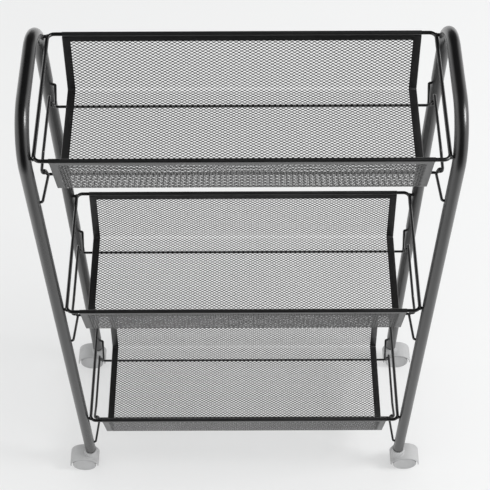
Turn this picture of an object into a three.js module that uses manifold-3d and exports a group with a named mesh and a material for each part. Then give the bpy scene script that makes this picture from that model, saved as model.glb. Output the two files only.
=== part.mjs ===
// A three-tier rolling utility cart: two bent tube side frames joined by three
// wire-rimmed mesh baskets, on four twin-wheel swivel casters.
// Millimetres, +Z up. The origin is on the floor under the middle of the cart.
// X runs along the baskets, -Y is the front.

import * as THREE from 'three';
import { mergeVertices } from 'three/addons/utils/BufferGeometryUtils.js';
import Module from 'manifold-3d';

const wasm = await Module();
wasm.setup();

// ---------------------------------------------------------------- dimensions

const GAP = 0.3; // room left between pieces that touch
const OVERCUT = 1; // how far a cutting body runs on past what it cuts

// side frames: one bent tube each, in the planes X = +-LEG_X
const LEG_X = 211.5;
const LEG_Y = 81;
const TUBE_R = 7;
const TUBE_BORE_R = 6;
const LEG_BOTTOM_Z = 46;
const HANDLE_Z = 716;
const HANDLE_BEND_R = 50;

// tiers
const TIERS = ['top', 'middle', 'bottom'];
const RIM_Z = [683, 407, 136];

// rim loop of each tier, with a peg at each corner that plugs into a leg
const RIM_WIRE_R = 2;
const RIM_HALF_X = 202;
const RIM_HALF_Y = 84.3;
const RIM_CORNER_R = 7;
const PEG_R = 1.9;
const PEG_END_X = 208.5;
const PEG_HOLE_R = 2.5;

// mesh trough, hung between the long sides of the rim loop
const TROUGH_HALF_X = 187.5;
const SHEET = 0.8;
const TROUGH_TOP_Y = 84.3;
const FLOOR_HALF_Y = 66.8;
const FLOOR_DROP = 67.4; // from the rim wire's centre to the floor's upper face
const CREASE_R = 4;

// cross wires under the floor and stay wires at the ends
const WIRE_R = 1.5;
const CROSS_Y = 45.5;
const CROSS_END_X = 199.1;
const CROSS_CORNER_R = 2;
const CROSS_DROP = FLOOR_DROP + SHEET + GAP + WIRE_R;
const HOOK_Y = 79.5;
const HOOK_DIP = 2.5; // how far the hooks sit below the cross wires
const HOOK_TURN_X = 202.6;
const HOOK_END_X = 208.5;
const HOOK_BEND_R = 2.2;
const HOOK_HOLE_R = 2;

// stay wires: a staple at each end, with a small eye in each foot that stands
// against a corner of a cross wire
const STAY_R = 1.6;
const STAY_X = 201.8;
const STAY_HALF_Y = 38;
const STAY_RISE = 26;
const STAY_BEND_R = 5;
const EYE_R = 2.1;
const EYE_X = 203;
const EYE_Y = 45.5;
const EYE_RISE = 4;
const EYE_NECK_RISE = 7.2;
const EYE_NECK_R = 3;

// casters: the wheels trail outwards from the leg by TRAIL
const TRAIL = 10.6;
const WHEEL_R = 16;
const WHEEL_SIDES = 20;
const WHEEL_IN_Y = 2.1;
const WHEEL_OUT_Y = 12;
const WHEEL_EDGE = 1;
const WHEEL_LIP = 2.6;
const WHEEL_DISH = 0.6;
const WHEEL_FACE_T = 1; // thickness of the closed face over the bore
const WHEEL_BORE_R = 2.3;
const AXLE_R = 2;
const AXLE_HALF_Y = 9.4;
const HOOD_R = 19.6;
const HOOD_BORE_R = 18;
const HOOD_HALF_Y = 12;
const HOOD_CHAMFER = 1.2;
const WEB_HALF_Y = 1.7;
const HUB_R = 5;
const BOSS_R = 7.4;
const BOSS_FOOT_Z = 27;
const BOSS_TOP_Z = 43.4;
const STEM_R = 4;
const STEM_BOTTOM_Z = 35;
const STEM_TOP_Z = 61;
const STEM_POINT = 1;
const RING_Z = 57;
const RING_H = 2;
const RING_R = 5;
const RING_BORE_R = 3.3;
const RING_GROOVE_R = 3;
const RING_SPLIT = 1.2;
const SOCKET_R = TUBE_BORE_R - GAP;
const SOCKET_BORE_R = STEM_R + GAP;
const SOCKET_TOP_Z = 56;
const FLANGE_R = 6.8;
const FLANGE_H = 2;

// facets
const TUBE_SIDES = 14;
const RIM_SIDES = 8;
const WIRE_SIDES = 6;
const TURN_SIDES = 12;
const TUBE_BEND_STEPS = 6; // per quarter turn
const WIRE_BEND_STEPS = 4;
const STAY_STEPS = 3;
const HOOD_ARC_STEPS = 18;

// ----------------------------------------------------------------- materials

function finish(color, roughness, metalness) {
  return new THREE.MeshStandardMaterial({ color, roughness, metalness });
}

const blackCoat = finish(0x232426, 0.42, 0.35);
const blackMesh = finish(0x1c1d1f, 0.5, 0.3);
const greyPlastic = finish(0xb9babc, 0.55, 0);
const blackNylon = finish(0x202022, 0.6, 0);
const zincSteel = finish(0xb4b6b8, 0.32, 1);

// ------------------------------------------------------------ solids helpers

/** The geometry with only its positions, welded, as a closed solid. */
function solidOf(geometry) {
  const bare = geometry.index ? geometry.toNonIndexed() : geometry.clone();
  bare.deleteAttribute('normal');
  bare.deleteAttribute('uv');
  const welded = mergeVertices(bare, 1e-4);
  return new wasm.Manifold(new wasm.Mesh({
    numProp: 3,
    vertProperties: new Float32Array(welded.attributes.position.array),
    triVerts: new Uint32Array(welded.index.array),
  }));
}

/** A closed solid back as a three.js geometry. */
function geometryOf(solid) {
  const mesh = solid.getMesh();
  const geometry = new THREE.BufferGeometry();
  geometry.setAttribute('position', new THREE.BufferAttribute(mesh.vertProperties, 3));
  geometry.setIndex(new THREE.BufferAttribute(mesh.triVerts, 1));
  geometry.computeVertexNormals();
  return geometry;
}

/** A regular polygon outline with its flats square to the axes. */
function roundOutline(radius, sides) {
  const shape = new THREE.Shape();
  for (let i = 0; i < sides; i++) {
    const a = ((i + 0.5) / sides) * 2 * Math.PI;
    const x = radius * Math.cos(a);
    const y = radius * Math.sin(a);
    if (i === 0) shape.moveTo(x, y);
    else shape.lineTo(x, y);
  }
  shape.closePath();
  return shape;
}

/** A straight round bar from one point to another. */
function bar(from, to, radius, sides = TURN_SIDES) {
  const span = new THREE.Vector3().subVectors(to, from);
  const geometry = new THREE.CylinderGeometry(radius, radius, span.length(), sides);
  const turn = new THREE.Quaternion().setFromUnitVectors(
    new THREE.Vector3(0, 1, 0),
    span.clone().normalize(),
  );
  geometry.applyQuaternion(turn);
  const middle = new THREE.Vector3().addVectors(from, to).multiplyScalar(0.5);
  geometry.translate(middle.x, middle.y, middle.z);
  return geometry;
}

/** A ring turned about the Z axis from a list of [radius, z] points. */
function turned(profile, segments = TURN_SIDES) {
  const points = profile.map(([r, z]) => new THREE.Vector2(r, z));
  const geometry = new THREE.LatheGeometry(points, segments);
  geometry.rotateX(Math.PI / 2);
  return geometry;
}

/**
 * A wire's centreline: straight runs between corners, each corner rounded to
 * its own radius. Steps fall only on the bends, so a straight run is one facet.
 */
class BentPath extends THREE.Curve {
  constructor(corners, { closed = false, bendSteps = WIRE_BEND_STEPS } = {}) {
    super();
    this.bendSteps = bendSteps;
    this.stations = [];
    const count = corners.length;
    corners.forEach((corner, i) => {
      const isEnd = !closed && (i === 0 || i === count - 1);
      if (isEnd) this.addEnd(corners, i);
      else this.addBend(corners[(i + count - 1) % count], corner, corners[(i + 1) % count]);
    });
    if (closed) this.stations.push(this.stations[0]);
    this.steps = this.stations.length - 1;
  }

  addEnd(corners, i) {
    const inner = i === 0 ? 1 : i - 1;
    const tangent = new THREE.Vector3().subVectors(corners[inner].at, corners[i].at);
    if (i !== 0) tangent.negate();
    this.addStation(corners[i].at.clone(), tangent.normalize());
  }

  /** Adds a step unless the last one is already there. */
  addStation(point, tangent) {
    const last = this.stations.at(-1);
    if (last && last.point.distanceTo(point) < 1e-6) return;
    this.stations.push({ point, tangent });
  }

  addBend(before, corner, after) {
    const into = new THREE.Vector3().subVectors(corner.at, before.at).normalize();
    const out = new THREE.Vector3().subVectors(after.at, corner.at).normalize();
    const turn = into.angleTo(out);
    const setback = corner.r * Math.tan(turn / 2);
    const start = corner.at.clone().addScaledVector(into, -setback);
    const side = out.clone().addScaledVector(into, -out.dot(into)).normalize();
    const steps = Math.max(2, Math.round((this.bendSteps * turn) / (Math.PI / 2)));
    for (let i = 0; i <= steps; i++) {
      const a = (turn * i) / steps;
      const point = start.clone()
        .addScaledVector(into, corner.r * Math.sin(a))
        .addScaledVector(side, corner.r * (1 - Math.cos(a)));
      const tangent = into.clone().multiplyScalar(Math.cos(a)).addScaledVector(side, Math.sin(a));
      this.addStation(point, tangent);
    }
  }

  station(u) {
    return this.stations[Math.round(u * this.steps)];
  }

  getPoint(u, target = new THREE.Vector3()) {
    return target.copy(this.station(u).point);
  }

  getPointAt(u, target) {
    return this.getPoint(u, target);
  }

  getTangentAt(u, target = new THREE.Vector3()) {
    return target.copy(this.station(u).tangent);
  }
}

function corner(x, y, z, r = 0) {
  return { at: new THREE.Vector3(x, y, z), r };
}

/** A round bar or tube body carried along a bent path, closed at both ends. */
function swept(path, radius, sides) {
  return new THREE.ExtrudeGeometry(roundOutline(radius, sides), {
    steps: path.steps,
    extrudePath: path,
    bevelEnabled: false,
  });
}

/** An outline in the Y-Z plane, drawn out along X from -halfX to +halfX. */
function drawnAlongX(shape, halfX) {
  const geometry = new THREE.ExtrudeGeometry(shape, { depth: 2 * halfX, bevelEnabled: false });
  geometry.translate(0, 0, -halfX);
  const turn = new THREE.Matrix4().makeBasis(
    new THREE.Vector3(0, 1, 0),
    new THREE.Vector3(0, 0, 1),
    new THREE.Vector3(1, 0, 0),
  );
  geometry.applyMatrix4(turn);
  return geometry;
}

/** An outline in the X-Z plane, drawn out along Y from -halfY to +halfY. */
function drawnAlongY(shape, halfY, chamfer = 0) {
  const geometry = new THREE.ExtrudeGeometry(shape, {
    depth: 2 * (halfY - chamfer),
    bevelEnabled: chamfer > 0,
    bevelThickness: chamfer,
    bevelSize: chamfer,
    bevelOffset: -chamfer,
    bevelSegments: 1,
    curveSegments: HOOD_ARC_STEPS,
  });
  geometry.translate(0, 0, -(halfY - chamfer));
  geometry.rotateX(Math.PI / 2);
  return geometry;
}

// ------------------------------------------------------------------ assembly

const cart = new THREE.Group();

function place(name, geometry, material, parent = cart) {
  const mesh = new THREE.Mesh(geometry, material);
  mesh.name = name;
  parent.add(mesh);
  return mesh;
}

const sideName = (sx) => (sx < 0 ? 'left' : 'right');
const endName = (sy) => (sy < 0 ? 'front' : 'rear');

// --------------------------------------------------------------- side frames

/** One inverted U of tube, cross-drilled for the pegs and hooks of each tier. */
function sideFrame(sx) {
  const x = sx * LEG_X;
  const centreline = (overrun) => new BentPath([
    corner(x, -LEG_Y, LEG_BOTTOM_Z - overrun),
    corner(x, -LEG_Y, HANDLE_Z, HANDLE_BEND_R),
    corner(x, LEG_Y, HANDLE_Z, HANDLE_BEND_R),
    corner(x, LEG_Y, LEG_BOTTOM_Z - overrun),
  ], { bendSteps: TUBE_BEND_STEPS });
  const body = solidOf(swept(centreline(0), TUBE_R, TUBE_SIDES));
  const bore = solidOf(swept(centreline(OVERCUT), TUBE_BORE_R, TUBE_SIDES));
  let tube = body.subtract(bore);
  const hole = (y, z, radius) => {
    const inner = new THREE.Vector3(sx * (LEG_X - TUBE_R - OVERCUT), y, z);
    const outer = new THREE.Vector3(sx * LEG_X, y, z);
    return solidOf(bar(inner, outer, radius, RIM_SIDES));
  };
  TIERS.forEach((_, tier) => {
    for (const sy of [-1, 1]) {
      tube = tube.subtract(hole(sy * LEG_Y, RIM_Z[tier], PEG_HOLE_R));
      tube = tube.subtract(hole(sy * HOOK_Y, RIM_Z[tier] - CROSS_DROP - HOOK_DIP, HOOK_HOLE_R));
    }
  });
  place(`${sideName(sx)}_side_frame`, geometryOf(tube), blackCoat);
}

// ------------------------------------------------------------------- baskets

/** The rounded rectangle of wire round a basket, with its four corner pegs. */
function rimLoop(tier) {
  const z = RIM_Z[tier];
  const loop = new BentPath([
    corner(RIM_HALF_X, -RIM_HALF_Y, z, RIM_CORNER_R),
    corner(RIM_HALF_X, RIM_HALF_Y, z, RIM_CORNER_R),
    corner(-RIM_HALF_X, RIM_HALF_Y, z, RIM_CORNER_R),
    corner(-RIM_HALF_X, -RIM_HALF_Y, z, RIM_CORNER_R),
  ], { closed: true });
  let rim = solidOf(new THREE.TubeGeometry(loop, loop.steps, RIM_WIRE_R, RIM_SIDES, true));
  const pegY = LEG_Y;
  const reach = pegY - (RIM_HALF_Y - RIM_CORNER_R);
  const pegX = RIM_HALF_X - RIM_CORNER_R + Math.sqrt(RIM_CORNER_R ** 2 - reach ** 2);
  for (const sx of [-1, 1]) {
    for (const sy of [-1, 1]) {
      const root = new THREE.Vector3(sx * pegX, sy * pegY, z);
      const tip = new THREE.Vector3(sx * PEG_END_X, sy * pegY, z);
      rim = rim.add(solidOf(bar(root, tip, PEG_R, RIM_SIDES)));
    }
  }
  place(`${TIERS[tier]}_rim_loop`, geometryOf(rim), blackCoat);
}

/** The folded mesh sheet: two sloping panels and a flat floor, open at the ends. */
function meshTrough(tier) {
  const top = -(RIM_WIRE_R + GAP);
  const floor = -FLOOR_DROP;
  const slope = Math.atan2(TROUGH_TOP_Y - FLOOR_HALF_Y, top - floor);
  const across = SHEET / Math.cos(slope);
  const foot = SHEET * Math.tan((Math.PI / 2 - slope) / 2);
  const shape = new THREE.Shape();
  shape.moveTo(-TROUGH_TOP_Y, top);
  shape.lineTo(-FLOOR_HALF_Y - foot, floor - SHEET);
  shape.lineTo(FLOOR_HALF_Y + foot, floor - SHEET);
  shape.lineTo(TROUGH_TOP_Y, top);
  shape.lineTo(TROUGH_TOP_Y - across, top);
  shape.lineTo(FLOOR_HALF_Y, floor + CREASE_R);
  shape.lineTo(FLOOR_HALF_Y - CREASE_R, floor);
  shape.lineTo(-FLOOR_HALF_Y + CREASE_R, floor);
  shape.lineTo(-FLOOR_HALF_Y, floor + CREASE_R);
  shape.lineTo(-TROUGH_TOP_Y + across, top);
  shape.closePath();
  const trough = place(`${TIERS[tier]}_mesh_trough`, drawnAlongX(shape, TROUGH_HALF_X), blackMesh);
  trough.position.z = RIM_Z[tier];
}

/** The same corners in reverse order, mirrored along one axis. */
function mirroredBack(corners, axis) {
  return corners.map(({ at, r }) => {
    const flipped = at.clone();
    flipped[axis] = -flipped[axis];
    return { at: flipped, r };
  }).reverse();
}

/**
 * A wire under the floor: from a hook in one leg, in along the end, across
 * under the floor, and out to the hook in the other leg.
 */
function crossWire(tier, sy) {
  const z = RIM_Z[tier] - CROSS_DROP;
  const half = [
    corner(HOOK_END_X, sy * HOOK_Y, z - HOOK_DIP),
    corner(HOOK_TURN_X, sy * HOOK_Y, z - HOOK_DIP, HOOK_BEND_R),
    corner(CROSS_END_X, sy * CROSS_Y, z, CROSS_CORNER_R),
  ];
  const path = new BentPath([...half, ...mirroredBack(half, 'x')]);
  place(`${TIERS[tier]}_${endName(sy)}_cross_wire`, swept(path, WIRE_R, WIRE_SIDES), blackCoat);
}

/** A staple of wire at a basket's end, each foot rolled into a small eye. */
function stayWire(tier, sx) {
  const z = RIM_Z[tier] - CROSS_DROP;
  const eyeTop = z + EYE_RISE + EYE_R;
  const eyeFoot = z + EYE_RISE - EYE_R;
  const half = [
    corner(sx * EYE_X, -EYE_Y, eyeTop),
    corner(sx * (EYE_X - EYE_R), -EYE_Y, eyeTop, EYE_R),
    corner(sx * (EYE_X - EYE_R), -EYE_Y, eyeFoot, EYE_R),
    corner(sx * (EYE_X + EYE_R), -EYE_Y, eyeFoot, EYE_R),
    corner(sx * (EYE_X + EYE_R), -EYE_Y, z + EYE_NECK_RISE, EYE_NECK_R),
    corner(sx * STAY_X, -STAY_HALF_Y, z + STAY_RISE, STAY_BEND_R),
  ];
  const path = new BentPath([...half, ...mirroredBack(half, 'y')], { bendSteps: STAY_STEPS });
  place(`${TIERS[tier]}_${sideName(sx)}_stay_wire`, swept(path, STAY_R, WIRE_SIDES), blackCoat);
}

// ------------------------------------------------------------------- casters

/** The nylon sleeve that lines the foot of a leg, with a flange under it. */
function socketGeometry() {
  const seat = LEG_BOTTOM_Z - GAP;
  return turned([
    [SOCKET_BORE_R, seat - FLANGE_H],
    [FLANGE_R, seat - FLANGE_H],
    [FLANGE_R, seat],
    [SOCKET_R, seat],
    [SOCKET_R, SOCKET_TOP_Z],
    [SOCKET_BORE_R, SOCKET_TOP_Z],
    [SOCKET_BORE_R, seat - FLANGE_H],
  ]);
}

/** The swivel pin, with a groove near its top for the grip ring. */
function stemGeometry() {
  const grooveBottom = RING_Z - GAP;
  const grooveTop = RING_Z + RING_H + GAP;
  return turned([
    [0, STEM_BOTTOM_Z],
    [STEM_R, STEM_BOTTOM_Z],
    [STEM_R, grooveBottom],
    [RING_GROOVE_R, grooveBottom],
    [RING_GROOVE_R, grooveTop],
    [STEM_R, grooveTop],
    [STEM_R, STEM_TOP_Z - STEM_POINT],
    [STEM_R - STEM_POINT, STEM_TOP_Z],
    [0, STEM_TOP_Z],
  ]);
}

/** The split ring that snaps out over the sleeve's top and holds the caster in. */
function gripRingGeometry() {
  const ring = solidOf(turned([
    [RING_BORE_R, RING_Z],
    [RING_R, RING_Z],
    [RING_R, RING_Z + RING_H],
    [RING_BORE_R, RING_Z + RING_H],
    [RING_BORE_R, RING_Z],
  ]));
  const split = new THREE.BoxGeometry(RING_SPLIT, RING_R, 2 * RING_H);
  split.translate(0, RING_R, RING_Z + RING_H / 2);
  return geometryOf(ring.subtract(solidOf(split)));
}

/** Half a disc standing on the wheel axis, in the X-Z plane. */
function halfDisc(radius) {
  const shape = new THREE.Shape();
  shape.moveTo(radius, 0);
  shape.absarc(0, 0, radius, 0, Math.PI, false);
  shape.closePath();
  return shape;
}

/**
 * The hood: half a barrel over both wheels, a web between them that carries
 * the axle, and a boss on top for the stem. Worked about the wheel axis, with
 * the stem at stemX.
 */
function hoodGeometry(stemX) {
  const yBar = (fromY, toY, radius, sides) => solidOf(bar(
    new THREE.Vector3(0, fromY, 0),
    new THREE.Vector3(0, toY, 0),
    radius,
    sides,
  ));
  const zBar = (fromZ, toZ, radius) => solidOf(bar(
    new THREE.Vector3(stemX, 0, fromZ - WHEEL_R),
    new THREE.Vector3(stemX, 0, toZ - WHEEL_R),
    radius,
    2 * TURN_SIDES,
  ));
  let hood = solidOf(drawnAlongY(halfDisc(HOOD_R), HOOD_HALF_Y, HOOD_CHAMFER));
  hood = hood.add(yBar(-WEB_HALF_Y, WEB_HALF_Y, HUB_R, TURN_SIDES));
  hood = hood.add(zBar(BOSS_FOOT_Z, BOSS_TOP_Z, BOSS_R));
  for (const sy of [-1, 1]) {
    const far = sy * (HOOD_HALF_Y + OVERCUT);
    hood = hood.subtract(yBar(sy * WEB_HALF_Y, far, HOOD_BORE_R, 2 * HOOD_ARC_STEPS));
  }
  const boreEnd = WEB_HALF_Y + OVERCUT;
  hood = hood.subtract(zBar(STEM_BOTTOM_Z - GAP, BOSS_TOP_Z + OVERCUT, SOCKET_BORE_R));
  hood = hood.subtract(yBar(-boreEnd, boreEnd, WHEEL_BORE_R, TURN_SIDES));
  return geometryOf(hood);
}

/** One wheel about the Y axis, its closed dished face at +Y and its bore at -Y. */
function wheelGeometry() {
  const rim = WHEEL_R / Math.cos(Math.PI / WHEEL_SIDES); // flats stand on the floor
  const boreEnd = WHEEL_OUT_Y - 2 * WHEEL_DISH - WHEEL_FACE_T;
  const profile = [
    [0, boreEnd],
    [WHEEL_BORE_R, boreEnd],
    [WHEEL_BORE_R, WHEEL_IN_Y],
    [rim - WHEEL_EDGE, WHEEL_IN_Y],
    [rim, WHEEL_IN_Y + WHEEL_EDGE],
    [rim, WHEEL_OUT_Y - WHEEL_EDGE],
    [rim - WHEEL_EDGE, WHEEL_OUT_Y],
    [rim - WHEEL_LIP, WHEEL_OUT_Y],
    [rim - WHEEL_LIP - WHEEL_DISH, WHEEL_OUT_Y - WHEEL_DISH],
    [0, WHEEL_OUT_Y - WHEEL_DISH],
  ].map(([r, y]) => new THREE.Vector2(r, y));
  const geometry = new THREE.LatheGeometry(profile, WHEEL_SIDES);
  geometry.rotateY(Math.PI / WHEEL_SIDES);
  return geometry;
}

/** A whole caster under one leg. */
function caster(sx, sy) {
  const name = `${endName(sy)}_${sideName(sx)}_caster`;
  const leg = new THREE.Group();
  leg.position.set(sx * LEG_X, sy * LEG_Y, 0);
  cart.add(leg);
  place(`${name}_socket`, socketGeometry(), blackNylon, leg);
  place(`${name}_stem`, stemGeometry(), zincSteel, leg);
  place(`${name}_grip_ring`, gripRingGeometry(), zincSteel, leg);

  const wheels = new THREE.Group();
  wheels.position.set(sx * TRAIL, 0, WHEEL_R);
  leg.add(wheels);
  place(`${name}_hood`, hoodGeometry(-sx * TRAIL), greyPlastic, wheels);
  const axleEnd = new THREE.Vector3(0, AXLE_HALF_Y, 0);
  place(`${name}_axle`, bar(axleEnd.clone().negate(), axleEnd, AXLE_R), zincSteel, wheels);
  for (const side of [-1, 1]) {
    const wheel = place(`${name}_${endName(side)}_wheel`, wheelGeometry(), greyPlastic, wheels);
    if (side < 0) wheel.rotation.z = Math.PI;
  }
}

// ------------------------------------------------------------------ the cart

for (const sx of [-1, 1]) sideFrame(sx);
TIERS.forEach((_, tier) => {
  rimLoop(tier);
  meshTrough(tier);
  for (const sy of [-1, 1]) crossWire(tier, sy);
  for (const sx of [-1, 1]) stayWire(tier, sx);
});
for (const sy of [-1, 1]) {
  for (const sx of [-1, 1]) caster(sx, sy);
}

export default cart;
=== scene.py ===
"""Looks of a three-tier rolling utility cart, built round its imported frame.

Sizes in the classes are in millimetres, in the frame's axes: +Z up, -Y the front,
X along the baskets, the origin on the floor under the middle of the cart.
"""

import logging
import math
from dataclasses import dataclass, field
from enum import Enum

import bpy
import numpy as np
from mathutils import Matrix, Vector


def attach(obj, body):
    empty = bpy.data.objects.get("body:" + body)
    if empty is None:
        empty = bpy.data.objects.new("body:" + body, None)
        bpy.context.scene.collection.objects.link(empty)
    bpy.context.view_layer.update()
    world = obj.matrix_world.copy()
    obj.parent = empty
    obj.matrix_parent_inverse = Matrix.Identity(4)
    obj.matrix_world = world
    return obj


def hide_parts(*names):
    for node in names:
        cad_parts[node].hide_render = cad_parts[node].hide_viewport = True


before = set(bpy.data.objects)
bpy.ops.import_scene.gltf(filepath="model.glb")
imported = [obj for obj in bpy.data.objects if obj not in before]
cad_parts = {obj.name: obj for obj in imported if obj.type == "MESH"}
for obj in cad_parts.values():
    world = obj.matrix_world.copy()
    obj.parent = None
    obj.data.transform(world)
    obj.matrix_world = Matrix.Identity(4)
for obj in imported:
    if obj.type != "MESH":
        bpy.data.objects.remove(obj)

Array = np.ndarray

LOG = logging.getLogger("cart")
MM = 0.001
X_AXIS = np.array([1.0, 0.0, 0.0])
Z_AXIS = np.array([0.0, 0.0, 1.0])


class Tier(Enum):
    """The three baskets, each with the height of its rim wire's centre."""

    TOP = ("top", 683.0)
    MIDDLE = ("middle", 407.0)
    BOTTOM = ("bottom", 136.0)

    @property
    def label(self) -> str:
        """Name used in piece names."""
        return self.value[0]

    @property
    def rim_z(self) -> float:
        """Height of the rim wire's centre."""
        return self.value[1]


class Side(Enum):
    """The two ends of the cart along X."""

    LEFT = -1
    RIGHT = 1

    @property
    def label(self) -> str:
        """Name used in piece names."""
        return self.name.lower()


class End(Enum):
    """The front and the rear of the cart along Y."""

    FRONT = -1
    REAR = 1

    @property
    def label(self) -> str:
        """Name used in piece names."""
        return self.name.lower()


class Slot(Enum):
    """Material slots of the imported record."""

    BLACK_COAT = "black_coat"
    BLACK_MESH = "black_mesh"
    GREY_PLASTIC = "grey_plastic"
    BLACK_NYLON = "black_nylon"
    ZINC_STEEL = "zinc_steel"


# ------------------------------------------------------------------ surfaces


@dataclass
class Shell:
    """A patch of surface.

    Attributes:
        points: (n, 3) places in millimetres.
        faces: arrays of (m, k) point numbers, one array for each corner count.
    """

    points: Array
    faces: list[Array]

    def volume(self) -> float:
        """Signed volume: the sum of the tetrahedra from the origin to each fan triangle."""
        total = 0.0
        for group in self.faces:
            first = self.points[group[:, 0]]
            for k in range(1, group.shape[1] - 1):
                second = self.points[group[:, k]]
                third = self.points[group[:, k + 1]]
                total += float(np.einsum("ij,ij->", first, np.cross(second, third)))
        return total / 6

    def facing_out(self) -> "Shell":
        """The same closed shell with its faces pointing outwards."""
        if self.volume() >= 0:
            return self
        return Shell(self.points, [group[:, ::-1] for group in self.faces])

    def shifted(self, x: float = 0.0, y: float = 0.0, z: float = 0.0) -> "Shell":
        """The shell moved by (x, y, z)."""
        return Shell(self.points + np.array([x, y, z]), self.faces)

    def mirrored(self, x: int = 1, y: int = 1) -> "Shell":
        """The shell scaled by signs along X and Y, still facing the same way."""
        turned_over = x * y < 0
        faces = [group[:, ::-1] if turned_over else group for group in self.faces]
        return Shell(self.points * np.array([x, y, 1.0]), faces)


def unit(vectors: Array) -> Array:
    """Each row over its own length; rows of no length stay zero."""
    length = np.linalg.norm(vectors, axis=-1, keepdims=True)
    return np.divide(vectors, length, out=np.zeros_like(vectors), where=length > 1e-9)


def grid_quads(rows: int, cols: int, wrap_rows: bool, wrap_cols: bool) -> Array:
    """Quads between neighbouring points of a grid whose point (i, j) is number i * cols + j.

    Args:
        rows: number of rings or rows.
        cols: points in each row.
        wrap_rows: whether the last row joins the first.
        wrap_cols: whether each row closes on itself.

    Returns:
        (m, 4) point numbers.
    """
    i, j = np.meshgrid(
        np.arange(rows if wrap_rows else rows - 1),
        np.arange(cols if wrap_cols else cols - 1),
        indexing="ij",
    )
    i_next = (i + 1) % rows
    j_next = (j + 1) % cols
    corners = [i * cols + j, i * cols + j_next, i_next * cols + j_next, i_next * cols + j]
    return np.stack(corners, -1).reshape(-1, 4)


def tube_shell(grid: Array, closed: bool) -> Shell:
    """A closed skin over rings of points: quads between rings, and a flat face on each end.

    Args:
        grid: (rows, cols, 3) rings of points.
        closed: whether the last ring joins the first, so there are no ends.

    Returns:
        The shell, facing out.
    """
    rows, cols = grid.shape[:2]
    faces = [grid_quads(rows, cols, closed, True)]
    if not closed:
        ring = np.arange(cols)
        faces.append(np.stack([ring[::-1], ring + (rows - 1) * cols]))
    return Shell(grid.reshape(-1, 3), faces).facing_out()


def bent_path(corners: Array, radii: Array, steps: int, closed: bool = False) -> tuple[Array, Array]:
    """Centreline of a bent wire: straight runs joined by circular arcs.

    At each corner the arc starts radius * tan(turn / 2) before it, and its point at
    angle a is start + radius * (sin(a) * into + (1 - cos(a)) * side).

    Args:
        corners: (n, 3) places where the straight runs would meet.
        radii: (n,) bend radius at each corner; an open path's ends have none.
        steps: parts that each arc is cut into.
        closed: whether the last corner runs on to the first.

    Returns:
        (m, 3) points and (m, 3) unit tangents, without repeated points.
    """
    into = unit(corners - np.roll(corners, 1, axis=0))
    out = unit(np.roll(corners, -1, axis=0) - corners)
    if not closed:
        into[0] = out[0]
        out[-1] = into[-1]
    cosine = np.clip((into * out).sum(1), -1.0, 1.0)
    turn = np.arccos(cosine)
    side = unit(out - into * cosine[:, None])
    start = corners - into * (radii * np.tan(turn / 2))[:, None]
    angle = (turn[:, None] * np.linspace(0, 1, steps + 1))[..., None]
    reach = radii[:, None, None]
    points = start[:, None] + reach * (np.sin(angle) * into[:, None] + (1 - np.cos(angle)) * side[:, None])
    tangents = np.cos(angle) * into[:, None] + np.sin(angle) * side[:, None]
    points = points.reshape(-1, 3)
    tangents = tangents.reshape(-1, 3)
    keep = np.linalg.norm(points - np.roll(points, 1, axis=0), axis=1) > 1e-6
    return points[keep], tangents[keep]


def ring_grid(points: Array, tangents: Array, radii: Array, sides: int, across: Array) -> Array:
    """Circles carried along a path, each square to its tangent.

    A ring's point at angle a is centre + radius * (cos(a) * normal + sin(a) * binormal),
    where normal is the direction across with its share along the tangent taken out.

    Args:
        points: (n, 3) centres.
        tangents: (n, 3) unit tangents.
        radii: (n,) or (n, sides) radius of each ring or ring point.
        sides: points round each ring.
        across: (3,) direction that is never along the path.

    Returns:
        (n, sides, 3) points.
    """
    normal = unit(across - tangents * (tangents @ across)[:, None])
    binormal = np.cross(tangents, normal)
    angle = 2 * np.pi * np.arange(sides) / sides
    spoke = np.cos(angle)[:, None] * normal[:, None] + np.sin(angle)[:, None] * binormal[:, None]
    reach = np.broadcast_to(np.asarray(radii, float).reshape(len(points), -1), (len(points), sides))
    return points[:, None] + spoke * reach[..., None]


def wire(points: Array, tangents: Array, radius: float, sides: int, across: Array) -> Shell:
    """An open round wire with a sheared, slightly domed end at each end of its path.

    The dome adds rings at distance dome * sin(t) with radius * cos(t), t from 0 to 80 degrees.

    Args:
        points: (n, 3) centreline.
        tangents: (n, 3) unit tangents.
        radius: the wire's radius.
        sides: points round each ring.
        across: direction that is never along the path.

    Returns:
        A closed shell.
    """
    t = np.radians(np.array([20.0, 40.0, 60.0, 80.0]))
    dome = 0.5 * radius
    head = points[0] - tangents[0] * (dome * np.sin(t[::-1]))[:, None]
    tail = points[-1] + tangents[-1] * (dome * np.sin(t))[:, None]
    centres = np.concatenate([head, points, tail])
    directions = np.concatenate([np.tile(tangents[0], (4, 1)), tangents, np.tile(tangents[-1], (4, 1))])
    radii = np.concatenate([radius * np.cos(t[::-1]), np.full(len(points), radius), radius * np.cos(t)])
    return tube_shell(ring_grid(centres, directions, radii, sides, across), closed=False)


def turned(profile: Array, segments: int, closed: bool) -> Shell:
    """A profile turned about Z: point (r, h) at angle a goes to (r cos a, r sin a, h).

    Args:
        profile: (n, 2) radius and height.
        segments: points round the turn.
        closed: whether the profile is a loop; if not, each end gets a flat face.

    Returns:
        A closed shell about the Z axis.
    """
    angle = 2 * np.pi * np.arange(segments) / segments
    r = profile[:, 0, None]
    height = np.broadcast_to(profile[:, 1, None], (len(profile), segments))
    grid = np.stack([r * np.cos(angle), r * np.sin(angle), height], -1)
    return tube_shell(grid, closed)


def about_y(shell: Shell) -> Shell:
    """A shell turned about Z laid over so that its axis is Y: (x, y, z) goes to (x, z, -y)."""
    return Shell(shell.points[:, [0, 2, 1]] * np.array([1.0, 1.0, -1.0]), shell.faces)


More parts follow.
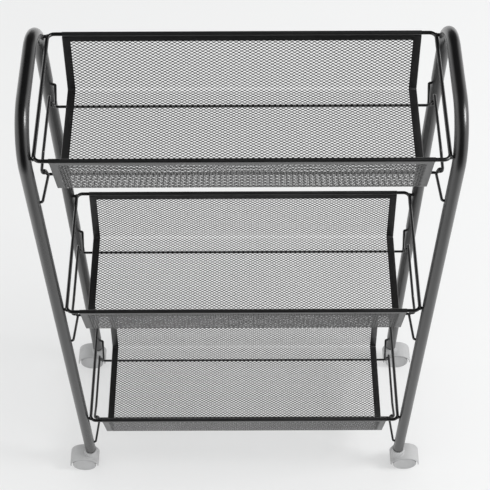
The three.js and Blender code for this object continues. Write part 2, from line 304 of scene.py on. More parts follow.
def rounded_outline(corners: Array, radii: Array, steps: int = 6) -> Array:
    """A closed flat outline with its corners rounded, as (n, 2) points."""
    flat = np.column_stack([corners, np.zeros(len(corners))])
    return bent_path(flat, radii, steps, closed=True)[0][:, :2]


def bead(centre: Array, reach: Array, lumps: int, phase: float) -> Shell:
    """A small lumpy weld: an ellipsoid whose radius swells with sin(lumps * turn + phase).

    Args:
        centre: (3,) middle.
        reach: (3,) half sizes.
        lumps: swellings round the bead.
        phase: where the first one stands, in radians.

    Returns:
        A closed shell.
    """
    height = np.radians(np.linspace(-84, 84, 11))[:, None]
    turn = (2 * np.pi * np.arange(18) / 18)[None]
    swell = 1 + 0.09 * np.sin(lumps * turn + phase) * np.cos(height) + 0.05 * np.sin(3 * height + phase)
    x = np.cos(height) * np.cos(turn) * swell
    y = np.cos(height) * np.sin(turn) * swell
    z = np.broadcast_to(np.sin(height), x.shape) * swell
    return tube_shell(centre + np.stack([x, y, z], -1) * reach, closed=False)


def welded(points: Array, faces: list[Array]) -> Shell:
    """The shell with points that share a place, to a ten-thousandth, made one."""
    keys = np.round(points * 1e4).astype(np.int64)
    _, first, number = np.unique(keys, axis=0, return_index=True, return_inverse=True)
    number = number.reshape(-1)
    return Shell(points[first], [number[group] for group in faces])


def build_piece(name: str, shells: list[Shell], sharp_deg: float) -> bpy.types.Object:
    """One object from shells in millimetres, with its place in its mesh.

    Args:
        name: the piece's name.
        shells: what it is made of.
        sharp_deg: an edge that turns more than this stays a sharp line.

    Returns:
        The linked object, shaded smooth.
    """
    mesh = bpy.data.meshes.new(name)
    starts = np.cumsum([0] + [len(s.points) for s in shells])
    groups = [group + start for s, start in zip(shells, starts) for group in s.faces]
    corners = np.concatenate([group.reshape(-1) for group in groups])
    totals = np.concatenate([np.full(len(group), group.shape[1]) for group in groups])
    points = np.concatenate([s.points for s in shells]) * MM
    mesh.vertices.add(len(points))
    mesh.vertices.foreach_set("co", points.astype(np.float32).reshape(-1))
    mesh.loops.add(len(corners))
    mesh.loops.foreach_set("vertex_index", corners.astype(np.int32))
    mesh.polygons.add(len(totals))
    mesh.polygons.foreach_set("loop_start", (np.cumsum(totals) - totals).astype(np.int32))
    mesh.polygons.foreach_set("loop_total", totals.astype(np.int32))
    mesh.update(calc_edges=True)
    mesh.shade_smooth()
    mesh.set_sharp_from_angle(angle=math.radians(sharp_deg))
    obj = bpy.data.objects.new(name, mesh)
    bpy.context.scene.collection.objects.link(obj)
    return obj


# ------------------------------------------------------------------ finishes


class Nodes:
    """Adds and joins nodes in one tree."""

    def __init__(self, tree: bpy.types.NodeTree) -> None:
        """Keeps the tree."""
        self.tree = tree

    def add(self, kind: str, **settings: object) -> bpy.types.Node:
        """A new node of this kind with its properties set."""
        node = self.tree.nodes.new(kind)
        for key, value in settings.items():
            setattr(node, key, value)
        return node

    def join(self, source: object, target: bpy.types.NodeSocket) -> None:
        """Links an output to an input, or sets the input to a plain value."""
        if isinstance(source, bpy.types.NodeSocket):
            self.tree.links.new(source, target)
        else:
            target.default_value = source

    def math(self, operation: str, a: object, b: object = 0.0, clamp: bool = False) -> bpy.types.NodeSocket:
        """The result of a Math node on two values or sockets."""
        node = self.add("ShaderNodeMath", operation=operation, use_clamp=clamp)
        self.join(a, node.inputs[0])
        self.join(b, node.inputs[1])
        return node.outputs[0]

    def noise(
        self, vector: object, scale: object, detail: float, roughness: float = 0.5
    ) -> bpy.types.NodeSocket:
        """The value of a Noise node."""
        node = self.add("ShaderNodeTexNoise")
        self.join(vector, node.inputs["Vector"])
        self.join(scale, node.inputs["Scale"])
        node.inputs["Detail"].default_value = detail
        node.inputs["Roughness"].default_value = roughness
        return node.outputs["Fac"]

    def span(
        self, value: object, low: float, high: float, to_low: float, to_high: float
    ) -> bpy.types.NodeSocket:
        """A value moved from one range to another, kept inside the second."""
        node = self.add("ShaderNodeMapRange")
        self.join(value, node.inputs["Value"])
        for key, number in zip(("From Min", "From Max", "To Min", "To Max"), (low, high, to_low, to_high)):
            node.inputs[key].default_value = number
        return node.outputs["Result"]

    def blend(self, factor: object, a: object, b: object) -> bpy.types.NodeSocket:
        """A colour between a and b."""
        node = self.add("ShaderNodeMix", data_type="RGBA")
        self.join(factor, node.inputs["Factor"])
        self.join(a, node.inputs["A"])
        self.join(b, node.inputs["B"])
        return node.outputs["Result"]


def new_group(name: str, inputs: dict[str, tuple[str, object]], outputs: dict[str, str]) -> tuple:
    """An empty shader group with named sockets.

    Args:
        name: the group's name.
        inputs: socket name to its kind and default.
        outputs: socket name to its kind.

    Returns:
        The tree, its Nodes, its input sockets by name and its output sockets by name.
    """
    tree = bpy.data.node_groups.new(name, "ShaderNodeTree")
    for key, (kind, default) in inputs.items():
        socket = tree.interface.new_socket(key, in_out="INPUT", socket_type=kind)
        if default is not None:
            socket.default_value = default
    for key, kind in outputs.items():
        tree.interface.new_socket(key, in_out="OUTPUT", socket_type=kind)
    nodes = Nodes(tree)
    group_in = nodes.add("NodeGroupInput")
    group_out = nodes.add("NodeGroupOutput")
    return tree, nodes, group_in.outputs, group_out.inputs


def powder_grain_group() -> bpy.types.NodeTree:
    """Orange peel of a sprayed coat or the spark grain of a mould: soft bumps under fine ones."""
    tree, n, given, result = new_group(
        "powder_grain",
        {
            "Vector": ("NodeSocketVector", None),
            "Scale": ("NodeSocketFloat", 900.0),
            "Fine": ("NodeSocketFloat", 0.4),
        },
        {"Height": "NodeSocketFloat", "Mask": "NodeSocketFloat"},
    )
    broad = n.noise(given["Vector"], given["Scale"], 1.0)
    fine = n.noise(given["Vector"], n.math("MULTIPLY", given["Scale"], 3.7), 2.0, 0.6)
    mixed = n.math("ADD", broad, n.math("MULTIPLY", n.math("SUBTRACT", fine, 0.5), given["Fine"]))
    n.join(mixed, result["Height"])
    n.join(n.span(mixed, 0.3, 0.7, 0.0, 1.0), result["Mask"])
    return tree


def dust_group() -> bpy.types.NodeTree:
    """Fine dust that settles on faces turned up, thicker in drifts, thinner where it was wiped."""
    tree, n, given, result = new_group(
        "settled_dust",
        {"Vector": ("NodeSocketVector", None), "Amount": ("NodeSocketFloat", 0.3)},
        {"Mask": "NodeSocketFloat"},
    )
    geometry = n.add("ShaderNodeNewGeometry")
    parts = n.add("ShaderNodeSeparateXYZ")
    n.join(geometry.outputs["Normal"], parts.inputs[0])
    upward = n.span(parts.outputs["Z"], 0.15, 1.0, 0.0, 1.0)
    drifts = n.span(n.noise(given["Vector"], 22.0, 4.0, 0.6), 0.35, 0.7, 0.25, 1.0)
    specks = n.span(n.noise(given["Vector"], 1500.0, 2.0), 0.45, 0.75, 0.5, 1.0)
    mask = n.math("MULTIPLY", n.math("MULTIPLY", upward, drifts), specks)
    n.join(n.math("MULTIPLY", mask, given["Amount"], clamp=True), result["Mask"])
    return tree


def edge_wear_group() -> bpy.types.NodeTree:
    """Where convex edges have rubbed: pointiness above the flat value, broken up by noise."""
    tree, n, given, result = new_group(
        "edge_wear",
        {"Vector": ("NodeSocketVector", None), "Amount": ("NodeSocketFloat", 0.5)},
        {"Mask": "NodeSocketFloat"},
    )
    geometry = n.add("ShaderNodeNewGeometry")
    edge = n.span(geometry.outputs["Pointiness"], 0.52, 0.6, 0.0, 1.0)
    broken = n.span(n.noise(given["Vector"], 260.0, 3.0, 0.65), 0.42, 0.62, 0.0, 1.0)
    n.join(n.math("MULTIPLY", n.math("MULTIPLY", edge, broken), given["Amount"], clamp=True), result["Mask"])
    return tree


def handling_group() -> bpy.types.NodeTree:
    """Broad, faint smears left by hands and cloths, which change how a finish shines."""
    tree, n, given, result = new_group(
        "handling",
        {"Vector": ("NodeSocketVector", None), "Scale": ("NodeSocketFloat", 18.0)},
        {"Mask": "NodeSocketFloat"},
    )
    warp = n.add("ShaderNodeMapping")
    warp.inputs["Scale"].default_value = (1.0, 1.0, 0.35)
    n.join(given["Vector"], warp.inputs["Vector"])
    n.join(n.span(n.noise(warp.outputs[0], given["Scale"], 5.0, 0.62), 0.35, 0.68, 0.0, 1.0), result["Mask"])
    return tree


class EffectKit:
    """The shared node groups, each built once."""

    def __init__(self) -> None:
        """Builds every group."""
        self.grain = powder_grain_group()
        self.dust = dust_group()
        self.wear = edge_wear_group()
        self.handling = handling_group()


@dataclass(frozen=True)
class Finish:
    """One finish: a base colour with grain, handling marks, dust and rubbed edges.

    Attributes:
        name: the material's name.
        base: linear colour of the clean surface.
        shade: linear colour of its slightly darker patches.
        rubbed: linear colour of a rubbed edge.
        dusty: linear colour of the dust.
        roughness: lowest and highest roughness.
        metallic: metal share.
        ior: index of refraction.
        coat: weight of the clear top coat.
        coat_roughness: roughness of that coat.
        grain_scale: bumps to the metre.
        grain_fine: share of the finer bumps.
        bump: height of the grain, in millimetres.
        wear: strength of the rubbed edges.
        dust: strength of the dust.
        handling_scale: smears to the metre.
    """

    name: str
    base: tuple[float, float, float]
    shade: tuple[float, float, float]
    rubbed: tuple[float, float, float]
    dusty: tuple[float, float, float]
    roughness: tuple[float, float]
    metallic: float
    ior: float
    coat: float
    coat_roughness: float
    grain_scale: float
    grain_fine: float
    bump: float
    wear: float
    dust: float
    handling_scale: float

    def material(self, kit: EffectKit) -> bpy.types.Material:
        """Builds the node material.

        Args:
            kit: the shared node groups.

        Returns:
            The material.
        """
        mat = bpy.data.materials.new(self.name)
        mat.use_nodes = True
        mat.node_tree.nodes.clear()
        n = Nodes(mat.node_tree)
        where = n.add("ShaderNodeTexCoord").outputs["Object"]
        grain = self.placed(n, kit.grain, where, Scale=self.grain_scale, Fine=self.grain_fine)
        smears = self.placed(n, kit.handling, where, Scale=self.handling_scale)
        wear = self.placed(n, kit.wear, where, Amount=self.wear)
        dust = self.placed(n, kit.dust, where, Amount=self.dust)

        tone = n.math("MULTIPLY", grain.outputs["Mask"], smears.outputs["Mask"])
        colour = n.blend(tone, (*self.base, 1.0), (*self.shade, 1.0))
        colour = n.blend(wear.outputs["Mask"], colour, (*self.rubbed, 1.0))
        colour = n.blend(dust.outputs["Mask"], colour, (*self.dusty, 1.0))
        gloss = n.span(smears.outputs["Mask"], 0.0, 1.0, *self.roughness)
        gloss = n.math("ADD", gloss, n.math("MULTIPLY", dust.outputs["Mask"], 0.4), clamp=True)

        bump = n.add("ShaderNodeBump")
        bump.inputs["Strength"].default_value = 1.0
        bump.inputs["Distance"].default_value = self.bump * MM
        n.join(grain.outputs["Height"], bump.inputs["Height"])

        shader = n.add("ShaderNodeBsdfPrincipled")
        n.join(colour, shader.inputs["Base Color"])
        n.join(gloss, shader.inputs["Roughness"])
        n.join(bump.outputs["Normal"], shader.inputs["Normal"])
        shader.inputs["Metallic"].default_value = self.metallic
        shader.inputs["IOR"].default_value = self.ior
        shader.inputs["Coat Weight"].default_value = self.coat
        shader.inputs["Coat Roughness"].default_value = self.coat_roughness
        output = n.add("ShaderNodeOutputMaterial")
        n.join(shader.outputs["BSDF"], output.inputs["Surface"])
        return mat

    @staticmethod
    def placed(
        n: Nodes, tree: bpy.types.NodeTree, where: bpy.types.NodeSocket, **values: float
    ) -> bpy.types.Node:
        """A group node reading this place, with its values set."""
        node = n.add("ShaderNodeGroup", node_tree=tree)
        n.join(where, node.inputs["Vector"])
        for key, value in values.items():
            node.inputs[key].default_value = value
        return node


POWDER_COAT = Finish(
    name="black_powder_coat",
    base=(0.0035, 0.0035, 0.0037),
    shade=(0.0060, 0.0060, 0.0063),
    rubbed=(0.03, 0.03, 0.031),
    dusty=(0.09, 0.088, 0.086),
    roughness=(0.26, 0.36),
    metallic=0.0,
    ior=1.75,
    coat=0.15,
    coat_roughness=0.18,
    grain_scale=900.0,
    grain_fine=0.35,
    bump=0.035,
    wear=0.4,
    dust=0.015,
    handling_scale=16.0,
)
MESH_COAT = Finish(
    name="black_mesh_coat",
    base=(0.0040, 0.0040, 0.0041),
    shade=(0.0065, 0.0065, 0.0067),
    rubbed=(0.03, 0.03, 0.031),
    dusty=(0.08, 0.08, 0.08),
    roughness=(0.28, 0.38),
    metallic=0.0,
    ior=2.3,
    coat=0.0,
    coat_roughness=0.2,
    grain_scale=1400.0,
    grain_fine=0.5,
    bump=0.03,
    wear=0.15,
    dust=0.015,
    handling_scale=12.0,
)
GREY_PLASTIC = Finish(
    name="moulded_grey_plastic",
    base=(0.48, 0.48, 0.483),
    shade=(0.41, 0.41, 0.413),
    rubbed=(0.58, 0.58, 0.58),
    dusty=(0.36, 0.35, 0.33),
    roughness=(0.42, 0.56),
    metallic=0.0,
    ior=1.47,
    coat=0.0,
    coat_roughness=0.3,
    grain_scale=2400.0,
    grain_fine=0.7,
    bump=0.03,
    wear=0.35,
    dust=0.12,
    handling_scale=60.0,
)
BLACK_NYLON = Finish(
    name="black_nylon_sleeve",
    base=(0.022, 0.022, 0.023),
    shade=(0.030, 0.030, 0.031),
    rubbed=(0.07, 0.07, 0.072),
    dusty=(0.16, 0.155, 0.15),
    roughness=(0.45, 0.6),
    metallic=0.0,
    ior=1.53,
    coat=0.0,
    coat_roughness=0.3,
    grain_scale=2000.0,
    grain_fine=0.6,
    bump=0.02,
    wear=0.3,
    dust=0.15,
    handling_scale=70.0,
)
ZINC_STEEL = Finish(
    name="zinc_plated_steel",
    base=(0.60, 0.61, 0.62),
    shade=(0.50, 0.51, 0.53),
    rubbed=(0.72, 0.72, 0.72),
    dusty=(0.25, 0.24, 0.22),
    roughness=(0.24, 0.38),
    metallic=1.0,
    ior=1.5,
    coat=0.0,
    coat_roughness=0.3,
    grain_scale=3000.0,
    grain_fine=0.8,
    bump=0.01,
    wear=0.2,
    dust=0.05,
    handling_scale=90.0,
)


class Workshop:
    """Makes pieces: builds the object, dresses it and ties it to its body and slot."""

    FINISHES = {
        Slot.BLACK_COAT: POWDER_COAT,
        Slot.BLACK_MESH: MESH_COAT,
        Slot.GREY_PLASTIC: GREY_PLASTIC,
        Slot.BLACK_NYLON: BLACK_NYLON,
        Slot.ZINC_STEEL: ZINC_STEEL,
    }

    def __init__(self) -> None:
        """Builds the shared groups and every material once."""
        kit = EffectKit()
        self.materials = {slot: finish.material(kit) for slot, finish in self.FINISHES.items()}

    def make(
        self,
        name: str,
        shells: list[Shell],
        slot: Slot,
        body: str,
        stands_for: tuple[str, ...] = (),
        sharp_deg: float = 38.0,
    ) -> bpy.types.Object:
        """Makes one piece.

        Args:
            name: the piece's name.
            shells: its surfaces, in millimetres.
            slot: the material slot it takes its finish from.
            body: the body it moves with.
            stands_for: CAD nodes it stands for, which are then hidden.
            sharp_deg: an edge that turns more than this stays sharp.

        Returns:
            The finished object.
        """
        obj = build_piece(name, shells, sharp_deg)
        obj.data.materials.append(self.materials[slot])
        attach(obj, body)
        if stands_for:
            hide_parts(*stands_for)
        LOG.info("%s: %d faces, on %s", name, len(obj.data.polygons), body)
        return obj

    def dress_node(self, node: str, slot: Slot) -> None:
        """Gives a CAD node that stays in view its node material."""
        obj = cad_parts[node]
        obj.data.materials.clear()
        obj.data.materials.append(self.materials[slot])


# --------------------------------------------------------------- side frames


@dataclass
class SideFrame:
    """One bent steel tube: two legs joined by the handle, pierced for the baskets' wires."""

    side: Side
    leg_x: float = 211.5
    leg_y: float = 81.0
    foot_z: float = 46.0
    handle_z: float = 716.0
    bend_r: float = 50.0
    tube_r: float = 7.0
    bore_r: float = 6.0
    sides: int = 56
    edge: float = 0.35
    dimple_depth: float = 0.8
    dimple_reach: float = 3.1
    wire_drop: float = 72.5
    ring_step: float = 12.0
    fine_step: float = 0.5
    fine_reach: float = 7.0
    bore_from_z: float = 60.0
    bore_to_z: float = 660.0

    def pierced_heights(self) -> Array:
        """Heights at which a peg or a wire's end goes into a leg."""
        rims = np.array([tier.rim_z for tier in Tier])
        return np.concatenate([rims, rims - self.wire_drop])

    def leg_heights(self) -> Array:
        """Ring heights up one leg: wide apart, and close together round each hole."""
        coarse = np.arange(self.foot_z + 2, self.handle_z - self.bend_r, self.ring_step)
        near_hole = np.arange(-self.fine_reach, self.fine_reach + 0.01, self.fine_step)
        fine = (self.pierced_heights()[:, None] + near_hole).reshape(-1)
        heights = np.union1d(np.round(coarse, 3), np.round(fine, 3))
        inside = (heights > self.foot_z + 1) & (heights < self.handle_z - self.bend_r - 1)
        return heights[inside]

    def centreline(self, heights: Array, steps: int) -> tuple[Array, Array]:
        """Front leg up, quarter arc, handle, quarter arc, rear leg down.

        Args:
            heights: ring heights of the legs, rising.
            steps: parts of each quarter arc.

        Returns:
            (n, 3) points and tangents.
        """
        x = self.side.value * self.leg_x
        corners = np.array(
            [
                [x, -self.leg_y, self.foot_z],
                [x, -self.leg_y, self.handle_z],
                [x, self.leg_y, self.handle_z],
                [x, self.leg_y, self.foot_z],
            ]
        )
        bends, tangents = bent_path(corners, np.array([0.0, self.bend_r, self.bend_r, 0.0]), steps)
        up = np.column_stack([np.full(len(heights), x), np.full(len(heights), -self.leg_y), heights])
        down = up[::-1] * np.array([1.0, -1.0, 1.0])
        points = np.concatenate([bends[:1], up, bends[1:-1], down, bends[-1:]])
        rising = np.tile(Z_AXIS, (len(up), 1))
        directions = np.concatenate([tangents[:1], rising, tangents[1:-1], -rising, tangents[-1:]])
        return points, directions

    def tube(self) -> Shell:
        """The tube's skin: out along the outside, over the sawn edge and back along the bore.

        Round each hole the wall is pushed in by depth * exp(-(distance / reach) squared).
        """
        points, tangents = self.centreline(self.leg_heights(), steps=28)
        inward = -self.side.value * X_AXIS
        skin = ring_grid(points, tangents, np.full(len(points), self.tube_r), self.sides, inward)
        angle = 2 * np.pi * np.arange(self.sides) / self.sides
        round_tube = self.tube_r * np.abs((angle + np.pi) % (2 * np.pi) - np.pi)
        rise = points[:, 2, None] - self.pierced_heights()
        on_leg = (np.abs(np.abs(points[:, 1]) - self.leg_y) < 1e-6)[:, None]
        away = rise[:, :, None] ** 2 + round_tube[None, None] ** 2
        push = self.dimple_depth * np.exp(-away / self.dimple_reach**2).sum(1) * on_leg
        spoke = (skin - points[:, None]) / self.tube_r
        skin = skin - spoke * push[..., None]

        bore_heights = np.array([self.bore_from_z, self.bore_to_z])
        inner_points, inner_tangents = self.centreline(bore_heights, steps=10)
        bore_radii = np.full(len(inner_points), self.bore_r)
        bore = ring_grid(inner_points, inner_tangents, bore_radii, self.sides, inward)
        first = skin[:1] + (points[0] - skin[:1]) * (self.edge / self.tube_r)
        last = skin[-1:] + (points[-1] - skin[-1:]) * (self.edge / self.tube_r)
        skin[0] += self.edge * Z_AXIS
        skin[-1] += self.edge * Z_AXIS
        return tube_shell(np.concatenate([first, skin, last, bore[::-1]]), closed=True)

    def build(self, shop: Workshop) -> None:
        """Makes the tube."""
        label = self.side.label
        node = f"{label}_side_frame"
        shop.make(f"{label}_bent_tube", [self.tube()], Slot.BLACK_COAT, "cart_frame", (node,))


# ------------------------------------------------------------------- baskets


@dataclass
class RimWire:
    """The thick wire loop round a basket, with four pegs welded on for the legs."""

    wire_r: float = 2.0
    half_x: float = 202.0
    half_y: float = 84.3
    corner_r: float = 7.0
    peg_r: float = 1.9
    peg_y: float = 81.0
    peg_end_x: float = 208.5
    weld_out: float = 1.4
    weld_in: float = 0.3
    weld_reach: tuple[float, float, float] = (1.7, 2.9, 2.5)
    sides: int = 24

    def loop(self) -> Shell:
        """The wire carried round a rectangle with rounded corners."""
        signs = np.array([[1, -1], [1, 1], [-1, 1], [-1, -1]])
        corners = np.column_stack([signs * np.array([self.half_x, self.half_y]), np.zeros(4)])
        points, tangents = bent_path(corners, np.full(4, self.corner_r), 14, closed=True)
        radii = np.full(len(points), self.wire_r)
        return tube_shell(ring_grid(points, tangents, radii, self.sides, Z_AXIS), closed=True)

    def peg(self, sx: int, sy: int) -> list[Shell]:
        """One peg and the weld that holds it on the loop's corner."""
        reach = self.peg_y - (self.half_y - self.corner_r)
        root = self.half_x - self.corner_r + math.sqrt(self.corner_r**2 - reach**2)
        path = np.array([[sx * root, sy * self.peg_y, 0.0], [sx * self.peg_end_x, sy * self.peg_y, 0.0]])
        ways = np.tile(sx * X_AXIS, (2, 1))
        weld_at = np.array([sx * (root + self.weld_out), sy * (self.peg_y - self.weld_in), 0.0])
        weld = bead(weld_at, np.array(self.weld_reach), lumps=5, phase=sx + 2.0 * sy)
        return [wire(path, ways, self.peg_r, 20, Z_AXIS), weld]

    def shells(self) -> list[Shell]:
        """Loop, pegs and welds about the rim's own height."""
        pegs = [shell for sx in (-1, 1) for sy in (-1, 1) for shell in self.peg(sx, sy)]
        return [self.loop(), *pegs]


@dataclass
class EndWires:
    """The thinner wires: two across under the floor and a staple at each end."""

    wire_r: float = 1.5
    drop: float = 70.0
    cross_y: float = 45.5
    cross_end_x: float = 199.1
    corner_r: float = 2.0
    hook_turn_x: float = 202.6
    hook_y: float = 79.5
    hook_dip: float = 2.5
    hook_end_x: float = 208.5
    hook_bend_r: float = 2.2
    stay_r: float = 1.6
    stay_x: float = 201.8
    stay_half_y: float = 38.0
    stay_rise: float = 26.0
    stay_bend_r: float = 5.0
    eye_r: float = 2.1
    eye_x: float = 203.0
    eye_rise: float = 4.0
    neck_rise: float = 7.2
    neck_r: float = 3.0
    weld_shift: float = 0.8
    weld_rise: float = 1.4
    weld_reach: tuple[float, float, float] = (1.8, 2.1, 1.6)
    sides: int = 16

    def cross_wire(self, end: End) -> Shell:
        """A wire from a hook in one leg, in along the end, across under the floor and out again."""
        sy = end.value
        half = np.array(
            [
                [self.hook_end_x, sy * self.hook_y, -self.hook_dip],
                [self.hook_turn_x, sy * self.hook_y, -self.hook_dip],
                [self.cross_end_x, sy * self.cross_y, 0.0],
            ]
        )
        corners = np.concatenate([half, half[::-1] * np.array([-1.0, 1.0, 1.0])])
        half_radii = np.array([0.0, self.hook_bend_r, self.corner_r])
        points, tangents = bent_path(corners, np.concatenate([half_radii, half_radii[::-1]]), 10)
        return wire(points, tangents, self.wire_r, self.sides, Z_AXIS)

    def stay_wire(self, side: Side) -> list[Shell]:
        """A staple with each foot rolled into a small eye, and the two welds beside the cross wires."""
        sx = side.value
        inner_x = self.eye_x - self.eye_r
        outer_x = self.eye_x + self.eye_r
        top = self.eye_rise + self.eye_r
        foot = self.eye_rise - self.eye_r
        half = np.array(
            [
                [sx * self.eye_x, -self.cross_y, top],
                [sx * inner_x, -self.cross_y, top],
                [sx * inner_x, -self.cross_y, foot],
                [sx * outer_x, -self.cross_y, foot],
                [sx * outer_x, -self.cross_y, self.neck_rise],
                [sx * self.stay_x, -self.stay_half_y, self.stay_rise],
            ]
        )
        corners = np.concatenate([half, half[::-1] * np.array([1.0, -1.0, 1.0])])
        half_radii = np.array([0.0, self.eye_r, self.eye_r, self.eye_r, self.neck_r, self.stay_bend_r])
        points, tangents = bent_path(corners, np.concatenate([half_radii, half_radii[::-1]]), 12)
        staple = wire(points, tangents, self.stay_r, self.sides, unit(np.array([1.0, 1.0, 1.0])))
        weld_x = sx * 0.5 * (self.cross_end_x + inner_x + self.weld_shift)
        reach = np.array(self.weld_reach)
        welds = []
        for end in End:
            weld_at = np.array([weld_x, end.value * self.cross_y, self.weld_rise])
            welds.append(bead(weld_at, reach, lumps=4, phase=2.0 * end.value))
        return [staple, *welds]


@dataclass
class MeshTrough:
    """The folded sheet of expanded metal with plain hems: two sloping sides and a flat floor."""

    half_x: float = 187.5
    top_y: float = 84.3
    floor_half_y: float = 66.8
    floor_drop: float = 67.4
    crease_r: float = 4.5
    sheet: float = 0.38
    margin: float = 6.0
    hem: float = 5.0
    columns: int = 62
    rows: int = 143
    strand: float = 0.62
    bond_half: float = 0.55
    bond_flat: float = 0.42
    rim_wire_r: float = 2.0
    hem_inside: float = 5.2
    hem_outside: float = 6.4
    flap: float = 8.6
    fold_gap: float = 0.5
    roll_gap: float = 0.05
    roll_neck: float = 2.6
    roll_from_deg: float = -60.0
    roll_to_deg: float = 240.0
    hem_inset: float = 0.4
    fold_overlap: float = 0.3
    fold_pinch: float = 0.1
    fold_sink: float = 0.02
    fold_inset: float = 3.2

    def __post_init__(self) -> None:
        """Works out the bent section once: its points, and its outward normals, by length."""
        corners = np.array(
            [
                [0.0, self.top_y, 0.0],
                [0.0, self.floor_half_y, -self.floor_drop],
                [0.0, -self.floor_half_y, -self.floor_drop],
                [0.0, -self.top_y, 0.0],
            ]
        )
        points, tangents = bent_path(corners, np.array([0.0, self.crease_r, self.crease_r, 0.0]), 12)
        self.section = points[:, 1:]
        self.section_way = tangents[:, 1:]
        steps = np.linalg.norm(np.diff(self.section, axis=0), axis=1)
        self.section_s = np.concatenate([[0.0], np.cumsum(steps)])

    @property
    def length(self) -> float:
        """Developed length of the section from rim to rim."""
        return float(self.section_s[-1])

    def at(self, x: Array, s: Array, h: Array) -> Array:
        """Places on or beside the bent sheet.

        The section's point at length s, pushed out by h along its normal, which is the
        tangent turned by a quarter: (way_z, -way_y).

        Args:
            x: place along the basket.
            s: developed length from the rear rim, over the floor, to the front rim.
            h: distance out from the sheet's inner face.

        Returns:
            (..., 3) points.
        """
        x, s, h = np.broadcast_arrays(x, s, h)
        y = np.interp(s, self.section_s, self.section[:, 0])
        z = np.interp(s, self.section_s, self.section[:, 1])
        way_y = np.interp(s, self.section_s, self.section_way[:, 0])
        way_z = np.interp(s, self.section_s, self.section_way[:, 1])
        return np.stack([x, y + h * way_z, z - h * way_y], -1)

    def row_pitch(self) -> float:
        """Half a diamond's height, so that the rows fill the sheet between its hems."""
        return (self.length - 2 * self.hem) / (self.rows + 1)

    def column_pitch(self) -> float:
        """A diamond's width, so that the columns fill the sheet between its margins."""
        return 2 * (self.half_x - self.margin) / self.columns

    def diamonds(self, first_row: int, last_row: int) -> Shell:
        """Rows of the lattice: each cell is a rhombus of sheet round a six-sided hole.

        Even rows hold one cell a column; odd rows stand half a column over, and their
        halves at the margins are solid. A cell's corners are the middles of its bonds.

        Args:
            first_row: first row of the piece.
            last_row: the row after its last.

        Returns:
            A shell of the inner face, the outer face and the holes' walls.
        """
        pitch = self.column_pitch()
        half_l = pitch / 2
        half_s = self.row_pitch()
        left = self.margin - self.half_x
        rows = np.arange(first_row, last_row)
        even = rows[rows % 2 == 0]
        odd = rows[rows % 2 == 1]
        even_x = left + (np.arange(self.columns) + 0.5) * pitch
        odd_x = left + np.arange(1, self.columns) * pitch
        centre_x = np.concatenate([np.tile(even_x, len(even)), np.tile(odd_x, len(odd))])
        centre_row = np.concatenate([np.repeat(even, len(even_x)), np.repeat(odd, len(odd_x))])
        centre_s = self.hem + (centre_row + 1) * half_s

        tip = half_l - self.bond_half
        brow = half_s - self.strand
        flat = self.bond_flat
        cell_x = np.array([-half_l, 0, half_l, 0, -tip, -flat, flat, tip, flat, -flat])
        cell_s = np.array([0, half_s, 0, -half_s, 0, brow, brow, 0, -brow, -brow])
        inner = self.at(centre_x[:, None] + cell_x, centre_s[:, None] + cell_s, 0.0)
        outer = self.at(centre_x[:, None] + cell_x, centre_s[:, None] + cell_s, self.sheet)
        points = np.concatenate([inner, outer], axis=1).reshape(-1, 3)
        quads = np.array([[0, 4, 5, 1], [1, 6, 7, 2], [2, 7, 8, 3], [3, 9, 4, 0]])
        tris = np.array([[1, 5, 6], [3, 8, 9]])
        ring = np.array([4, 5, 6, 7, 8, 9])
        ring_next = np.roll(ring, -1)
        walls = np.stack([ring, ring + 10, ring_next + 10, ring_next], -1)
        start = 20 * np.arange(len(centre_x))[:, None, None]
        all_quads = np.concatenate([quads, quads[:, ::-1] + 10, walls[:, ::-1]])
        all_tris = np.concatenate([tris, tris[:, ::-1] + 10])
        cell_quads = (start + all_quads).reshape(-1, 4)
        cell_tris = (start + all_tris).reshape(-1, 3)

        fill_points, fill_tris = self.half_cells(odd, rows)
        shift = len(points)
        faces = [cell_quads, np.concatenate([cell_tris, fill_tris + shift])]
        return welded(np.concatenate([points, fill_points]), faces)

    def half_cells(self, odd: Array, rows: Array) -> tuple[Array, Array]:
        """Solid triangles that square off the lattice along its margins and hems.

        Args:
            odd: odd rows of the piece, whose half cells at the margins are solid.
            rows: all its rows; the first and last of the sheet also get a solid edge.

        Returns:
            (n, 3) points and (m, 3) point numbers.
        """
        pitch = self.column_pitch()
        half_s = self.row_pitch()
        left = self.margin - self.half_x
        s = self.hem + (odd + 1) * half_s
        ends = np.stack([s - half_s, s, s + half_s], -1)
        west = np.stack(np.broadcast_arrays(np.array([left, left + pitch / 2, left]), ends), -1)
        east = np.stack(np.broadcast_arrays(np.array([-left, -left - pitch / 2, -left]), ends[:, ::-1]), -1)
        corners = [west, east]
        for edge_row, way in ((0, 1.0), (self.rows - 1, -1.0)):
            if edge_row not in rows:
                continue
            edge_s = self.hem if way > 0 else self.length - self.hem
            middle = left + np.arange(0, self.columns + 1) * pitch
            low = np.clip(middle - pitch / 2, left, -left)
            high = np.clip(middle + pitch / 2, left, -left)
            x = np.stack([low, high, middle], -1)[:, :: int(way)]
            base = np.array([edge_s, edge_s, edge_s + way * half_s])[:: int(way)]
            corners.append(np.stack(np.broadcast_arrays(x, base), -1))
        flat = np.concatenate(corners)
        count = len(flat)
        inner = self.at(flat[..., 0], flat[..., 1], 0.0)
        outer = self.at(flat[..., 0], flat[..., 1], self.sheet)
        points = np.concatenate([inner.reshape(-1, 3), outer.reshape(-1, 3)])
        tris = np.arange(3 * count).reshape(-1, 3)
        return points, np.concatenate([tris, tris[:, ::-1] + 3 * count])

